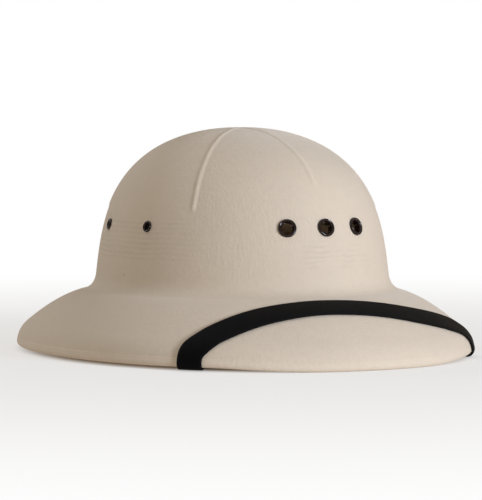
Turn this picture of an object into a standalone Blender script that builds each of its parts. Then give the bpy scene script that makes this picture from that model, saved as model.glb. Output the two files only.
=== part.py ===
"""Sun helmet of pressed fibre: a lofted shell, turned eyelets, a headband on spacers and a chin strap.

Lengths are metres. The origin is on the surface that the brim stands on, under the middle of the
helmet. The front is -Y, the wearer's left is +X and up is +Z. An azimuth is an angle round Z, counted
from the front towards the wearer's left.
"""

from math import atan2, cos, pi, radians, sin

import bmesh
import bpy
import numpy as np
from mathutils import Matrix, Vector

MM = 0.001

# Crown: a superellipse dome on a foot that is a little higher at the front.
CROWN_HALF_WIDTH = 0.0923
CROWN_HALF_LENGTH = 0.1132
CROWN_HEIGHT = 0.1045
CROWN_DRAFT = 0.0104          # how much the wall leans in from foot to top
CROWN_TOP_POWER = 2.2
CROWN_SIDE_POWER = 3.27
CROWN_PLAN_POWER = 1.93
FOOT_HEIGHT = 0.0415          # crown's foot above the standing surface
FOOT_SLOPE = 0.0124           # fall of the foot for each metre towards the back

# Brim: falls ever more steeply from the foot to a bend, then turns down as a lip with a rolled edge.
BRIM_HALF_WIDTH = 0.1379
BRIM_HALF_LENGTH = 0.1697
BRIM_PLAN_POWER = 2.12
BRIM_FALL_POWER = 1.69
LIP_HEIGHT = 0.0114
LIP_SPREAD = 0.0020
STAND_HALF_ANGLE = radians(14)    # the brim stands flat this far each side of front and back
SIDE_HALF_ANGLE = radians(38)     # from here on the edge is at its side height
SIDE_RISE = 0.0023

# Shell wall and its rounded corners.
WALL = 0.0025
FOOT_FILLET_RISE = 0.095      # of the crown's height
FOOT_FILLET_REACH = 0.19      # of the brim's reach
BEND_REACH = 0.90             # of the brim's reach, where the bend's rounding begins
BEND_END_HEIGHT = 0.0065      # above the edge, where it ends

# Section of the rolled edge: way in from the edge and height above it, in millimetres.
ROLL_SECTION = (
    (0.0, 3.0), (0.5, 1.0), (1.8, 0.0), (3.8, 0.0), (5.4, 1.0), (6.0, 3.0), (5.2, 5.0),
)
ROLL_LOWEST_ROW = 2           # first of the section's rows that lie on the surface
ROLL_STRAP_ROWS = 5           # rows of the section that the strap goes round

# Numbers of rings and meridians of the shell.
MERIDIANS = 60
CROWN_RINGS = 13
FILLET_RINGS = 3
BRIM_RINGS = 6
BEND_RINGS = 3
POLE_RISE = 0.9985            # rise of the ring next to the pole
MERIDIAN_STEPS = 300          # steps in which a meridian's length is measured

# Raised ribs: azimuth in degrees, rise of the lower end.
RIBS = ((0, 0.61), (50, 0.50), (130, 0.50), (180, 0.61), (230, 0.50), (310, 0.50))
RIB_TOP_RISE = 0.9965
RIB_RADIUS = 0.0017
RIB_HEIGHT = 0.0010
RIB_POINTS = 11
RIB_END_TAPER = 0.6           # of its radius

# Eyelets: name, azimuth in degrees, size.
EYELET_RISE = 0.407
EYELETS = (
    ("eyelet_front_middle", 0.0, "large"),
    ("eyelet_front_left", 13.9, "large"),
    ("eyelet_front_right", -13.9, "large"),
    ("eyelet_left_fore", 73.0, "small"),
    ("eyelet_left_aft", 108.0, "small"),
    ("eyelet_right_fore", -73.0, "small"),
    ("eyelet_right_aft", -108.0, "small"),
)
# Eyelet sizes: flange radius, hole radius, barrel radius, flange height, clinched rim radius, sides.
EYELET_SIZES = {
    "large": (0.0059, 0.0034, 0.0043, 0.0015, 0.0056, 16),
    "small": (0.0037, 0.0020, 0.0027, 0.0011, 0.0036, 12),
}

EYELET_SHOULDER = 0.25        # rounding of the flange, as a share of its height
EYELET_SHOULDER_LEVEL = 0.75
EYELET_MOUTH_LEVEL = 0.4
CLINCH_ROOM = 0.0011          # under the wall, which is flat between its rings, for the clinched rim
CLINCH_THICKNESS = 0.0006
CLINCH_CHAMFER = 0.0002
HOLE_DEPTH = 0.015

# Headband: half length and half width of its outer face at the lower and the upper edge.
BAND_LOWER = (0.1070, 0.0880)
BAND_UPPER = (0.0995, 0.0800)
BAND_LOWER_HEIGHT = -0.0015   # from the crown's foot
BAND_UPPER_HEIGHT = 0.0300
BAND_THICKNESS = 0.0016
BAND_ROWS = 4

# Spacers between headband and shell.
SPACER_AZIMUTHS = (
    ("spacer_left_fore", 58), ("spacer_right_fore", -58),
    ("spacer_left_aft", 122), ("spacer_right_aft", -122),
)
SPACER_HALF_ANGLE = radians(5)
SPACER_BOTTOM = -0.0005       # from the crown's foot
SPACER_TOP = 0.0150
SPACER_ROWS = 4
SPACER_COLUMNS = 5

# Chin strap, stored over the front of the brim.
STRAP_WIDTH = 0.0165
STRAP_THICKNESS = 0.0013
STRAP_LIFT = 0.00045          # clearance under the strap
STRAP_FREE_RUN = 0.0138       # way in from the roll before the shell can hold the strap up
# Course of its middle: azimuth in degrees, way from the foot of the roll in millimetres (up over the
# brim is minus, in under the brim is plus), number of pieces to the next row.
STRAP_COURSE = (
    (-40.0, 66.0, 7),
    (-40.0, 52.0, 4),
    (-41.0, 12.0, 2),
    (-41.5, 5.0, 5),
    (-41.5, 0.0, 8),
    (-41.2, -11.0, 5),
    (-38.5, -20.0, 5),
    (-33.0, -32.0, 4),
    (-23.0, -47.0, 4),
    (-12.0, -54.5, 5),
    (0.0, -54.0, 5),
    (12.0, -48.0, 4),
    (22.0, -39.0, 4),
    (31.0, -29.0, 4),
    (38.0, -19.5, 5),
    (41.2, -11.0, 8),
    (41.5, 0.0, 5),
    (41.5, 5.0, 2),
    (41.0, 12.0, 4),
    (40.0, 52.0, 7),
    (40.0, 66.0, 0),
)

CLEARANCE = 0.0003            # between pieces that touch on the real helmet
SPACER_TO_BAND = 0.00045
SPACER_TO_SHELL = 0.0006      # more than the clearance, because the shell's wall is faceted
WELD = 0.00005
SHARP_ANGLE = radians(35)

# Steps that slopes are measured over.
SMALL_TURN = radians(0.5)
SMALL_RISE = 0.0005
SMALL_WAY = 0.0008

# Materials: colour, roughness, metallic.
FINISHES = {
    "tan_fibre": ((0.58, 0.49, 0.37, 1.0), 0.75, 0.0),
    "black_enamel": ((0.012, 0.010, 0.010, 1.0), 0.25, 0.6),
    "black_vinyl": ((0.015, 0.013, 0.014, 1.0), 0.45, 0.0),
    "black_band": ((0.014, 0.013, 0.013, 1.0), 0.30, 0.0),
    "pale_spacer": ((0.52, 0.50, 0.47, 1.0), 0.85, 0.0),
}


# ---------------------------------------------------------------- outlines

def plan_radius(azimuth, half_length, half_width, power):
    """Distance from the Z axis to a superellipse."""
    along = abs(cos(azimuth)) / half_length
    across = abs(sin(azimuth)) / half_width
    return (along ** power + across ** power) ** (-1 / power)


def polar(azimuth, radius, height):
    return np.array((radius * sin(azimuth), -radius * cos(azimuth), height))


def crown_point(azimuth, rise):
    """Outer face of the crown; rise is 0 at the foot and nears 1 at the pole."""
    roundness = (1 - rise ** CROWN_SIDE_POWER) ** (1 / CROWN_TOP_POWER)
    lean = CROWN_DRAFT * (1 - rise)
    half_length = (CROWN_HALF_LENGTH - CROWN_DRAFT) * roundness + lean
    half_width = (CROWN_HALF_WIDTH - CROWN_DRAFT) * roundness + lean
    radius = plan_radius(azimuth, half_length, half_width, CROWN_PLAN_POWER)
    tilt = FOOT_SLOPE * radius * cos(azimuth) * (1 - rise)
    return polar(azimuth, radius, FOOT_HEIGHT + CROWN_HEIGHT * rise + tilt)


def edge_height(azimuth):
    """Height of the brim's edge: on the surface at front and back, a little higher at the sides."""
    from_end = atan2(abs(sin(azimuth)), abs(cos(azimuth)))
    share = (from_end - STAND_HALF_ANGLE) / (SIDE_HALF_ANGLE - STAND_HALF_ANGLE)
    share = min(max(share, 0.0), 1.0)
    return SIDE_RISE * share * share * (3 - 2 * share)


def edge_point(azimuth, inward, up):
    """A point placed from the brim's edge."""
    half_length = BRIM_HALF_LENGTH - inward
    half_width = BRIM_HALF_WIDTH - inward
    radius = plan_radius(azimuth, half_length, half_width, BRIM_PLAN_POWER)
    return polar(azimuth, radius, edge_height(azimuth) + up)


def brim_point(azimuth, reach):
    """Upper face of the brim; reach is 0 at the crown's foot and 1 at the bend."""
    foot = crown_point(azimuth, 0.0)
    bend = edge_point(azimuth, LIP_SPREAD, LIP_HEIGHT)
    point = foot + (bend - foot) * reach
    point[2] = foot[2] + (bend[2] - foot[2]) * reach ** BRIM_FALL_POWER
    return point


def rounded(start, corner, end, count):
    """Points of the quadratic curve that rounds a corner off, without its two ends."""
    shares = np.linspace(0, 1, count + 2)[1:-1]
    return [(1 - t) ** 2 * start + 2 * t * (1 - t) * corner + t * t * end for t in shares]


def even_rises(azimuth, low, high, count):
    """Rises spread evenly over the length of a meridian, from high to low."""
    rises = high - (high - low) * np.linspace(0, 1, MERIDIAN_STEPS) ** 2
    line = np.array([crown_point(azimuth, rise) for rise in rises])
    steps = np.linalg.norm(np.diff(line, axis=0), axis=1)
    lengths = np.concatenate(([0.0], np.cumsum(steps)))
    return np.interp(np.linspace(0, lengths[-1], count), lengths, rises)


CROWN_RISES = even_rises(pi / 2, FOOT_FILLET_RISE, POLE_RISE, CROWN_RINGS)
BRIM_REACHES = np.linspace(FOOT_FILLET_REACH, BEND_REACH, BRIM_RINGS)


def outer_line(azimuth):
    """Outer face of the shell on one meridian, from near the pole down to the lip."""
    crown = [crown_point(azimuth, rise) for rise in CROWN_RISES]
    brim = [brim_point(azimuth, reach) for reach in BRIM_REACHES]
    foot = crown_point(azimuth, 0.0)
    fillet = rounded(crown[-1], foot, brim[0], FILLET_RINGS)
    bend_corner = edge_point(azimuth, LIP_SPREAD, LIP_HEIGHT)
    lip_foot_up = ROLL_SECTION[0][1] * MM
    spread_left = LIP_SPREAD * (BEND_END_HEIGHT - lip_foot_up) / (LIP_HEIGHT - lip_foot_up)
    bend_end = edge_point(azimuth, spread_left, BEND_END_HEIGHT)
    bend = rounded(brim[-1], bend_corner, bend_end, BEND_RINGS)
    return np.array(crown + fillet + brim + bend + [bend_end])


def roll_line(azimuth):
    """Rolled edge on one meridian, from the lip round to the gutter."""
    return np.array([edge_point(azimuth, inward * MM, up * MM) for inward, up in ROLL_SECTION])


def inner_line(azimuth):
    """Inner face of the shell on one meridian, a wall's thickness under the outer face."""
    line = outer_line(azimuth)
    along = np.gradient(line, axis=0)
    around = outer_line(azimuth + SMALL_TURN) - outer_line(azimuth - SMALL_TURN)
    normals = np.cross(along, around)
    normals /= np.linalg.norm(normals, axis=1)[:, None]
    return line - WALL * normals


def crown_frame(azimuth, rise):
    """Matrix that puts Z on the crown's outward normal at one of its points."""
    point = Vector(crown_point(azimuth, rise))
    up = Vector(crown_point(azimuth, rise + SMALL_RISE))
    up -= Vector(crown_point(azimuth, rise - SMALL_RISE))
    around = Vector(crown_point(azimuth + SMALL_TURN, rise))
    around -= Vector(crown_point(azimuth - SMALL_TURN, rise))
    around.normalize()
    normal = around.cross(up).normalized()
    up = normal.cross(around)
    turn = Matrix((around, up, normal)).transposed().to_4x4()
    return Matrix.Translation(point) @ turn


# ---------------------------------------------------------------- objects

def clear_scene():
    for item in list(bpy.data.objects):
        bpy.data.objects.remove(item, do_unlink=True)


def new_collection(name):
    collection = bpy.data.collections.new(name)
    bpy.context.scene.collection.children.link(collection)
    return collection


def finish_material(name):
    """Principled material from the table of finishes."""
    if name in bpy.data.materials:
        return bpy.data.materials[name]
    colour, roughness, metallic = FINISHES[name]
    material = bpy.data.materials.new(name)
    material.use_nodes = True
    material.diffuse_color = colour
    shader = material.node_tree.nodes["Principled BSDF"]
    shader.inputs["Base Color"].default_value = colour
    shader.inputs["Roughness"].default_value = roughness
    shader.inputs["Metallic"].default_value = metallic
    return material


def new_object(name, mesh, collection, finish=None):
    item = bpy.data.objects.new(name, mesh)
    collection.objects.link(item)
    if finish:
        mesh.materials.clear()
        mesh.materials.append(finish_material(finish))
        mesh.shade_smooth()
        mesh.set_sharp_from_angle(angle=SHARP_ANGLE)
    return item


def as_cutter(item):
    item.hide_render = True
    item.display_type = "WIRE"


def join_by_boolean(target, tool, operation):
    modifier = target.modifiers.new(tool.name, "BOOLEAN")
    modifier.operation = operation
    modifier.solver = "EXACT"
    modifier.object = tool


def mesh_of_rings(name, rings, first_pole=None, last_pole=None):
    """Mesh between closed rings of points, open at its ends or closed by a pole."""
    bm = bmesh.new()
    rows = [[bm.verts.new(point) for point in ring] for ring in rings]
    count = len(rows[0])
    for upper, lower in zip(rows, rows[1:]):
        for k in range(count):
            n = (k + 1) % count
            bm.faces.new((upper[k], lower[k], lower[n], upper[n]))
    if first_pole is not None:
        pole = bm.verts.new(first_pole)
        for k in range(count):
            bm.faces.new((pole, rows[0][k], rows[0][(k + 1) % count]))
    if last_pole is not None:
        pole = bm.verts.new(last_pole)
        for k in range(count):
            bm.faces.new((rows[-1][k], pole, rows[-1][(k + 1) % count]))
    mesh = bpy.data.meshes.new(name)
    bm.to_mesh(mesh)
    bm.free()
    return mesh


def mesh_of_sections(name, sections):
    """Solid lofted through closed sections, with a face on each end."""
    bm = bmesh.new()
    rows = [[bm.verts.new(point) for point in section] for section in sections]
    count = len(rows[0])
    for near, far in zip(rows, rows[1:]):
        for k in range(count):
            n = (k + 1) % count
            bm.faces.new((near[k], near[n], far[n], far[k]))
    bm.faces.new(rows[0][::-1])
    bm.faces.new(rows[-1])
    bmesh.ops.recalc_face_normals(bm, faces=bm.faces)
    mesh = bpy.data.meshes.new(name)
    bm.to_mesh(mesh)
    bm.free()
    return mesh


# ---------------------------------------------------------------- shell

def build_shell(collection, cutters):
    """Crown, brim, lip and rolled edge in one wall, with raised ribs and eyelet holes."""
    azimuths = [2 * pi * k / MERIDIANS for k in range(MERIDIANS)]
    outer = np.array([outer_line(azimuth) for azimuth in azimuths])
    roll = np.array([roll_line(azimuth) for azimuth in azimuths])
    inner = np.array([inner_line(azimuth) for azimuth in azimuths])
    rows = [outer[:, k] for k in range(outer.shape[1])]
    rows += [roll[:, k] for k in range(roll.shape[1])]
    rows += [inner[:, k] for k in range(inner.shape[1] - 1, -1, -2)]
    top = FOOT_HEIGHT + CROWN_HEIGHT
    mesh = mesh_of_rings("shell", rows, first_pole=(0, 0, top), last_pole=(0, 0, top - WALL))
    shell = new_object("shell", mesh, collection, "tan_fibre")
    for azimuth, rise in RIBS:
        join_by_boolean(shell, build_rib(azimuth, rise, cutters), "UNION")
    for name, azimuth, size in EYELETS:
        join_by_boolean(shell, build_hole(name, azimuth, size, cutters), "DIFFERENCE")
    return shell


def build_rib(azimuth_degrees, low_rise, cutters):
    """Half-sunk bar along a meridian that fades out at both ends."""
    azimuth = radians(azimuth_degrees)
    curve = bpy.data.curves.new(f"rib_{azimuth_degrees}", "CURVE")
    curve.dimensions = "3D"
    curve.bevel_depth = RIB_RADIUS
    curve.bevel_resolution = 2
    curve.use_fill_caps = True
    spline = curve.splines.new("POLY")
    spline.points.add(RIB_POINTS - 1)
    for k, rise in enumerate(even_rises(azimuth, low_rise, RIB_TOP_RISE, RIB_POINTS)):
        at_end = k in (0, RIB_POINTS - 1)
        depth = RIB_RADIUS if at_end else RIB_RADIUS - RIB_HEIGHT
        frame = crown_frame(azimuth, min(rise, RIB_TOP_RISE))
        point = frame @ Vector((0, 0, -depth))
        spline.points[k].co = (*point, 1)
        spline.points[k].radius = RIB_END_TAPER if at_end else 1.0
    source = bpy.data.objects.new(curve.name, curve)
    cutters.objects.link(source)
    bpy.context.view_layer.update()
    graph = bpy.context.evaluated_depsgraph_get()
    mesh = bpy.data.meshes.new_from_object(source.evaluated_get(graph))
    bm = bmesh.new()
    bm.from_mesh(mesh)
    bmesh.ops.remove_doubles(bm, verts=bm.verts, dist=WELD)
    bm.to_mesh(mesh)
    bm.free()
    rib = bpy.data.objects.new(f"rib_bar_{azimuth_degrees}", mesh)
    rib.matrix_world = source.matrix_world
    cutters.objects.link(rib)
    bpy.data.objects.remove(source, do_unlink=True)
    as_cutter(rib)
    return rib


def build_hole(name, azimuth_degrees, size, cutters):
    """Cutter for the hole that an eyelet sits in."""
    barrel_radius = EYELET_SIZES[size][2]
    sides = EYELET_SIZES[size][5]
    bm = bmesh.new()
    radius = barrel_radius + CLEARANCE
    bmesh.ops.create_cone(
        bm, cap_ends=True, segments=sides, radius1=radius, radius2=radius, depth=HOLE_DEPTH)
    mesh = bpy.data.meshes.new(f"hole_{name}")
    bm.to_mesh(mesh)
    bm.free()
    hole = new_object(f"hole_{name}", mesh, cutters)
    hole.matrix_world = crown_frame(radians(azimuth_degrees), EYELET_RISE)
    as_cutter(hole)
    return hole


# ---------------------------------------------------------------- eyelets

def build_eyelet(name, azimuth_degrees, size, collection):
    """Turned eyelet: rounded flange outside, barrel through the wall, clinched rim inside."""
    flange, hole, barrel, height, rim, sides = EYELET_SIZES[size]
    inside = -WALL - CLINCH_ROOM
    inner_end = inside - CLINCH_THICKNESS
    middle = (flange + hole) / 2
    shoulder = EYELET_SHOULDER * height
    shoulder_level = EYELET_SHOULDER_LEVEL * height
    profile = (
        (middle, height), (flange - shoulder, shoulder_level), (flange, CLEARANCE),
        (barrel, CLEARANCE), (barrel, inside), (rim, inside), (rim - CLINCH_CHAMFER, inner_end),
        (hole, inner_end), (hole, EYELET_MOUTH_LEVEL * height), (hole + shoulder, shoulder_level),
    )
    mesh = bpy.data.meshes.new(name)
    points = [(radius, 0, up) for radius, up in profile]
    edges = [(k, (k + 1) % len(points)) for k in range(len(points))]
    mesh.from_pydata(points, edges, [])
    eyelet = new_object(name, mesh, collection, "black_enamel")
    turn = eyelet.modifiers.new("turn", "SCREW")
    turn.axis = "Z"
    turn.steps = sides
    turn.render_steps = sides
    turn.use_merge_vertices = True
    turn.merge_threshold = WELD
    turn.use_smooth_shade = True
    eyelet.matrix_world = crown_frame(radians(azimuth_degrees), EYELET_RISE)
    return eyelet


# ---------------------------------------------------------------- headband and spacers

def band_point(azimuth, share):
    """Outer face of the headband; share is 0 at its lower edge and 1 at its upper edge."""
    half_length = BAND_LOWER[0] + (BAND_UPPER[0] - BAND_LOWER[0]) * share
    half_width = BAND_LOWER[1] + (BAND_UPPER[1] - BAND_LOWER[1]) * share
    height = BAND_LOWER_HEIGHT + (BAND_UPPER_HEIGHT - BAND_LOWER_HEIGHT) * share
    radius = plan_radius(azimuth, half_length, half_width, CROWN_PLAN_POWER)
    return polar(azimuth, radius, FOOT_HEIGHT + height)


def build_headband(collection):
    """Leaning band whose wall is grown inwards from its outer face."""
    azimuths = [2 * pi * k / MERIDIANS for k in range(MERIDIANS)]
    shares = np.linspace(1, 0, BAND_ROWS)
    rings = [[band_point(azimuth, share) for azimuth in azimuths] for share in shares]
    headband = new_object("headband", mesh_of_rings("headband", rings), collection, "black_band")
    wall = headband.modifiers.new("wall", "SOLIDIFY")
    wall.thickness = BAND_THICKNESS
    wall.offset = -1
    wall.use_even_offset = True
    return headband


def shell_inner_radius(azimuth, height):
    line = inner_line(azimuth)
    radii = np.hypot(line[:, 0], line[:, 1])
    return np.interp(height, line[::-1, 2], radii[::-1])


def build_spacer(name, azimuth_degrees, collection):
    """Wedge that fills the room between headband and shell, clear of both."""
    middle = radians(azimuth_degrees)
    heights = np.linspace(SPACER_BOTTOM, SPACER_TOP, SPACER_ROWS)
    turns = np.linspace(-SPACER_HALF_ANGLE, SPACER_HALF_ANGLE, SPACER_COLUMNS)
    band_span = BAND_UPPER_HEIGHT - BAND_LOWER_HEIGHT
    sections = []
    for height in heights:
        level = FOOT_HEIGHT + height
        near_shell = []
        near_band = []
        for azimuth in middle + turns:
            band = band_point(azimuth, (height - BAND_LOWER_HEIGHT) / band_span)
            inner_radius = np.hypot(band[0], band[1]) + SPACER_TO_BAND
            outer_radius = shell_inner_radius(azimuth, level) - SPACER_TO_SHELL
            near_band.append(polar(azimuth, inner_radius, level))
            near_shell.append(polar(azimuth, outer_radius, level))
        sections.append(near_shell + near_band[::-1])
    return new_object(name, mesh_of_sections(name, sections), collection, "pale_spacer")


# ---------------------------------------------------------------- chin strap

def strap_track(azimuth):
    """The way that a strap takes round one meridian: over the brim, round the roll, straight in under
    the brim to the crown's foot and up inside. Gives its points and their way from the roll's foot."""
    outer = outer_line(azimuth)[CROWN_RINGS + FILLET_RINGS:]
    roll = roll_line(azimuth)[:ROLL_STRAP_ROWS]
    inside = inner_line(azimuth)[::-1]
    start = roll[-1]
    rise = inside[:, 2] - start[2]
    run = np.hypot(start[0], start[1]) - np.hypot(inside[:, 0], inside[:, 1])
    away = run > STRAP_FREE_RUN
    slopes = np.where(away, rise / np.where(away, run, 1.0), np.inf)
    touch = int(np.argmin(slopes))
    points = np.concatenate((outer, roll, inside[touch:]))
    lengths = np.concatenate(([0.0], np.cumsum(np.linalg.norm(np.diff(points, axis=0), axis=1))))
    return points, lengths - lengths[len(outer) + ROLL_LOWEST_ROW]


def on_track(azimuth, way):
    points, lengths = strap_track(azimuth)
    return np.array([np.interp(way, lengths, points[:, axis]) for axis in range(3)])


def smooth_course():
    """Azimuths and ways between the rows of the strap's course, on a smooth curve through them."""
    rows = np.array([(radians(azimuth), way * MM) for azimuth, way, _ in STRAP_COURSE])
    counts = [count for _, _, count in STRAP_COURSE]
    spans = np.hypot(np.diff(rows[:, 0]) * BRIM_HALF_LENGTH, np.diff(rows[:, 1]))
    marks = np.concatenate(([0.0], np.cumsum(spans)))
    slopes = np.gradient(rows, marks, axis=0)
    course = []
    for k, count in enumerate(counts[:-1]):
        span = spans[k]
        for share in np.arange(count) / count:
            square, cube = share ** 2, share ** 3
            course.append(
                (2 * cube - 3 * square + 1) * rows[k] + (cube - 2 * square + share) * span * slopes[k]
                + (3 * square - 2 * cube) * rows[k + 1] + (cube - square) * span * slopes[k + 1])
    course.append(rows[-1])
    return np.array(course)


def strap_section(place, heading):
    """Closed section of the strap, square to its heading: three points below and three above."""
    azimuth, way = place
    turn = SMALL_TURN
    step = SMALL_WAY
    per_turn = np.linalg.norm(on_track(azimuth + turn, way) - on_track(azimuth - turn, way)) / (2 * turn)
    forward = np.array((heading[0] * per_turn, heading[1]))
    forward /= np.linalg.norm(forward)
    below = []
    above = []
    for side in (-0.5, 0.0, 0.5):
        side_azimuth = azimuth - forward[1] * side * STRAP_WIDTH / per_turn
        side_way = way + forward[0] * side * STRAP_WIDTH
        point = on_track(side_azimuth, side_way)
        around = on_track(side_azimuth + turn, side_way) - on_track(side_azimuth - turn, side_way)
        along = on_track(side_azimuth, side_way + step) - on_track(side_azimuth, side_way - step)
        normal = np.cross(along, around)
        normal /= np.linalg.norm(normal)
        below.append(point + STRAP_LIFT * normal)
        above.append(point + (STRAP_LIFT + STRAP_THICKNESS) * normal)
    return below + above[::-1]


def build_strap(collection):
    course = smooth_course()
    headings = np.gradient(course, axis=0)
    sections = [strap_section(place, heading) for place, heading in zip(course, headings)]
    return new_object("chin_strap", mesh_of_sections("chin_strap", sections), collection, "black_vinyl")


# ---------------------------------------------------------------- assembly

def build_helmet():
    clear_scene()
    helmet = new_collection("sun_helmet")
    cutters = new_collection("cutters")
    build_shell(helmet, cutters)
    for name, azimuth, size in EYELETS:
        build_eyelet(name, azimuth, size, helmet)
    build_headband(helmet)
    for name, azimuth in SPACER_AZIMUTHS:
        build_spacer(name, azimuth, helmet)
    build_strap(helmet)
    bpy.context.view_layer.update()


build_helmet()
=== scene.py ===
"""Sun helmet of pressed fibre: the fine surface and finish of every piece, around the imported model.

Run as a script, it makes each piece in turn and sets the stage. Lengths are metres. The front is -Y, the
wearer's left is +X and up is +Z. An azimuth is an angle round Z, counted from the front towards the
wearer's left. The rule of a surface is written once, as a function: given numbers it places a point, and
given outputs of a node tree it lays the nodes that place every point of a mesh.
"""

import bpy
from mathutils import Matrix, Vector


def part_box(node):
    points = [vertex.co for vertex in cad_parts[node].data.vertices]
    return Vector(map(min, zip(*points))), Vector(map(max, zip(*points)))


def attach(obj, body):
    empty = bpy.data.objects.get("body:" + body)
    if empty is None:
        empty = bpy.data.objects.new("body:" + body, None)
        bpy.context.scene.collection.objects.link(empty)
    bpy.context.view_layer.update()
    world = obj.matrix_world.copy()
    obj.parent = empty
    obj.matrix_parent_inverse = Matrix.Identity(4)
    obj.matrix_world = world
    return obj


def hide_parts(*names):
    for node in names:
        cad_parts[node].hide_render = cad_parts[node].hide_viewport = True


bl_info = {
    "name": "Pressed Sun Helmet",
    "version": (1, 0, 0),
    "blender": (4, 5, 0),
    "location": "3D View > Sidebar > Helmet",
    "description": "Makes the shell, eyelets, headband, spacers and chin strap of a sun helmet",
    "category": "Add Mesh",
}

from math import degrees, pi, radians
from types import SimpleNamespace

import bmesh
import bpy
import numpy as np
from bpy.props import FloatProperty, FloatVectorProperty, PointerProperty
from mathutils import Vector

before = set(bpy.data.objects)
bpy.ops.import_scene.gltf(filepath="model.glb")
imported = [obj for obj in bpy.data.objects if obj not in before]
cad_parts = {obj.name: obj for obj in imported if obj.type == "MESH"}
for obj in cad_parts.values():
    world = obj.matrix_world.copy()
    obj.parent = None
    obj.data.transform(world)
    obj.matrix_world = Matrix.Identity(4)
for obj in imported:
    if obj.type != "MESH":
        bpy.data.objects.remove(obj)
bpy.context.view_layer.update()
SHELL_LOW, SHELL_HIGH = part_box("shell")
BODY = "root"
MM = 0.001
DEGREES = degrees(1)          # in a radian

# ---------------------------------------------------------------- shape of the shell

FOOT_HEIGHT = 0.0415          # crown's foot above the surface that the brim stands on
FOOT_SLOPE = 0.0124           # fall of the foot for each metre towards the back
CROWN_DRAFT = 0.0104          # how much the wall leans in from foot to top
CROWN_TOP_POWER = 2.2         # a higher power makes its curve squarer
CROWN_SIDE_POWER = 3.27
CROWN_PLAN_POWER = 1.93
BRIM_PLAN_POWER = 2.12
BRIM_FALL_POWER = 1.69
LIP_HEIGHT = 0.0114           # from the edge up to where brim and lip would meet unrounded
LIP_SPREAD = 0.0020           # from the edge in to that place
STAND_HALF_ANGLE = radians(14)    # the edge is flat to stand on up to here, from front and back
SIDE_HALF_ANGLE = radians(38)     # and from here on it has its height at the sides
SIDE_RISE = 0.0023

# Places along a meridian. The crown's rise is 1 at the pole and 0 at its foot; the brim's reach is 0 at
# the foot and 1 at the bend.
PLEATS_TOP = 0.64
PLEATS_LOW = 0.17
FILLET_RISE = 0.095
FILLET_REACH = 0.19
BEND_REACH = 0.90
BEND_END_HEIGHT = 0.0065      # above the edge
BEAD_HALF = 0.0030            # half width and half height of the rolled edge
BEAD_POWER = 2.5
BEAD_TURN = radians(250)
HEM_INWARD = 0.00326          # end of the inner face, where the rolled edge meets it
HEM_HEIGHT = 0.00592
HEM_ROOM = 0.002              # above that end; no other zone of the inner face ends so low

SAME_POINT = 0.000002         # points nearer than this are one point
POLE_RADIUS = SAME_POINT / 10     # of the crown at its pole, where it would otherwise be nothing
LAST_ROW = 0.999              # share of a zone past which only its last row lies
COLUMNS = 360
CROWDING = 0.8                # how much closer the columns stand at a rib than on average
SIDE_RIB = radians(50)        # from front or back
RIB_SPANS = (SIDE_RIB, pi - 2 * SIDE_RIB)              # from rib to rib: front to side, side to side

# Relief of the pressed surface. Ribs: angle from front or back, lower end, height over which they rise.
RIB_PLACES = ((0.0, 0.1040, 0.014), (SIDE_RIB, 0.0925, 0.005))
SIDE_PLEATS = ((42, 62), (19.0, 24.0, 45.0, 50.0))     # degrees from front or back; mm above the foot
SIDE_PLEAT_POWER = 1.6        # a higher power makes the lines narrower
FRONT_PLEATS = ((-12, -5, 15, 22), (16.0, 20.0, 33.0, 37.0))     # azimuth in degrees; mm above the foot
FRONT_PLEAT_POWER = 3.0
PLEAT_SWAY = (2.0, 7.0)       # mm that the lines stray, at the sides and in front
WELT_HEIGHT = 0.0054          # above the edge
WELT_HALF = 0.0006
FAINT_WELT = (-60, -35, 35, 60)   # azimuth in degrees: the welt is fainter in front
CROWN_BLEND = 0.02            # above and below the foot, where crown and brim share their unevenness
HEM_MARK = (0.0044, 0.0056)   # above the edge: the rolled edge's lighter band, painted light and partly wear, is full below and gone above
ROLLED_IN = (0.0005, 0.007)   # the relief fades out this far in from the edge and below this height
FLECK_AZIMUTH = radians(-85)  # the one dark fleck on the cover
FLECK_RISE = 0.11
FLECK_RADIUS = 0.0011

# ---------------------------------------------------------------- shape of the other pieces

FRONT_EYELETS = ("eyelet_front_middle", "eyelet_front_left", "eyelet_front_right")
SIDE_EYELETS = ("eyelet_left_fore", "eyelet_left_aft", "eyelet_right_fore", "eyelet_right_aft")
SIDE_EYELET_MIDDLE = radians(90.5)
EYELET_RISE = 0.407           # of the crown
EYELET_SIDES = 48
DRILL_DEPTH = 0.015
CLINCH_ROOM = 0.0006          # from the shell's inner face to the clinched rim
CLINCH_THICKNESS = 0.0006
SEAT = 0.0001                 # under an eyelet's rim
FUNNEL_DEPTH = 0.0010         # below the crown's face
CREST_SHARE = 0.55            # of the rim's height, from its outside in to its crest
BARREL_SHARE = 0.35           # of the way from mouth to flange, where the barrel's outside is

BAND_LOWER = (0.1070, 0.0880)         # half length and half width of its outer face
BAND_UPPER = (0.0995, 0.0800)
BAND_HEIGHTS = (-0.0015, 0.0300)      # of its lower and its upper edge, from the crown's foot
BAND_COLUMNS = 240
RIM_SHARE = 0.025             # of the band's height, taken by each rounded edge
LINE_HALF_WIDTH = 0.0006

SPACERS = (                           # name and azimuth in degrees
    ("spacer_left_fore", 58), ("spacer_right_fore", -58),
    ("spacer_left_aft", 122), ("spacer_right_aft", -122),
)
SPACER_HALF_ANGLE = radians(5)
SPACER_HEIGHTS = (-0.0005, 0.0150)    # from the crown's foot
SPACER_SQUARENESS = 9                 # 2 would make a ball, and more makes its edges sharper
SPACER_CUTS = 9                       # across each side

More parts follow.
